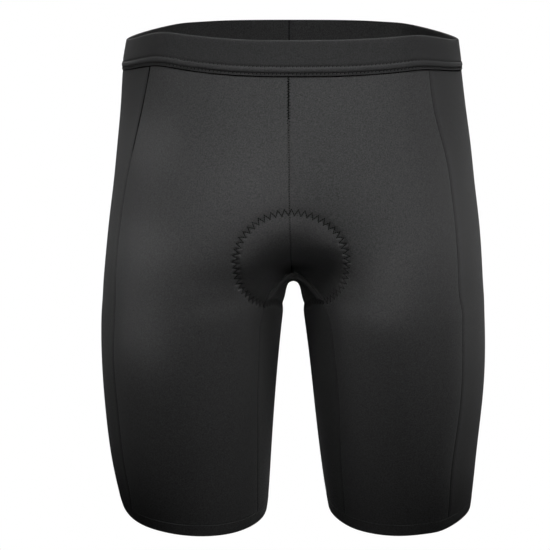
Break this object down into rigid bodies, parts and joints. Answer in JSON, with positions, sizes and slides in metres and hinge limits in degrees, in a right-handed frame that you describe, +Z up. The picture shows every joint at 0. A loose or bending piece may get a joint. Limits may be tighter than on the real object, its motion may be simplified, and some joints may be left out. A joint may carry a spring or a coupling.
{
  "type": "triathlon shorts",
  "caption": "Close-fitting stretch shorts with a plain waistband, side panels, hem bands and a thin seat pad, filled out as when worn.",
  "frame": {"origin": "middle of the waist, half way up the waistband, where the wearer's waist holds the shorts up", "axes": "+Z up, towards the waist opening; the front faces -Y; +X to the wearer's left; metres"},
  "size_m": [0.3415, 0.2271, 0.4379],
  "materials": {
    "panel_knit": "charcoal stretch knit, matte with a soft sheen",
    "side_knit": "slightly darker charcoal stretch knit, matte",
    "band_knit": "near-black double stretch knit, matte",
    "pad_cloth": "brushed dark grey cloth bonded on thin foam, matte"
  },
  "bodies": {
    "root": {"waistband": "band_knit", "front_right": "panel_knit", "front_left": "panel_knit", "side_right": "side_knit", "side_left": "side_knit", "back_right": "panel_knit", "back_left": "panel_knit", "hem_right": "band_knit", "hem_left": "band_knit", "pad": "pad_cloth"}
  },
  "joints": []
}
